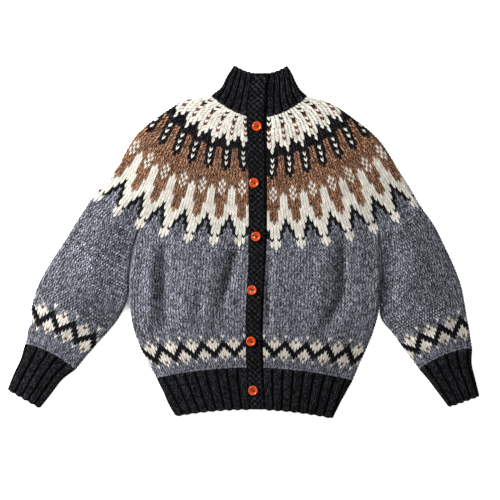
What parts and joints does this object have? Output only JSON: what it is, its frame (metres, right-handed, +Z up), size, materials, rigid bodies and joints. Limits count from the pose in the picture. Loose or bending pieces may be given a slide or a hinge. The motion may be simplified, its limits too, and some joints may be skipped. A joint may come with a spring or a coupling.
{
  "type": "cardigan",
  "caption": "Knitted yoke cardigan with a ribbed stand-up collar, hem and cuffs, buttoned down the front, laid flat on its back; wearable garment, hollow inside",
  "frame": {"origin": "On the surface it lies on, below the middle of its outline.", "axes": "+X across the garment to the wearer's left, which is the picture's right; +Y from hem to neck; +Z up from the back to the front."},
  "size_m": [0.8766, 0.655, 0.0275],
  "materials": {
    "grey_wool": "heathered grey wool yarn in stocking stitch",
    "black_wool": "charcoal black wool yarn, ribbed or in moss stitch",
    "patterned_wool": "stranded colourwork in brown, cream, black and grey wool",
    "button": "polished orange resin"
  },
  "bodies": {
    "root": {"body": "grey_wool", "hem_rib": "black_wool", "yoke": "patterned_wool", "collar": "black_wool", "sleeve_left": "grey_wool", "sleeve_right": "grey_wool", "cuff_left": "black_wool", "cuff_right": "black_wool", "button_band": "black_wool", "buttonhole_band": "black_wool", "button_1": "button", "button_2": "button", "button_3": "button", "button_4": "button", "button_5": "button", "button_6": "button"}
  },
  "joints": []
}
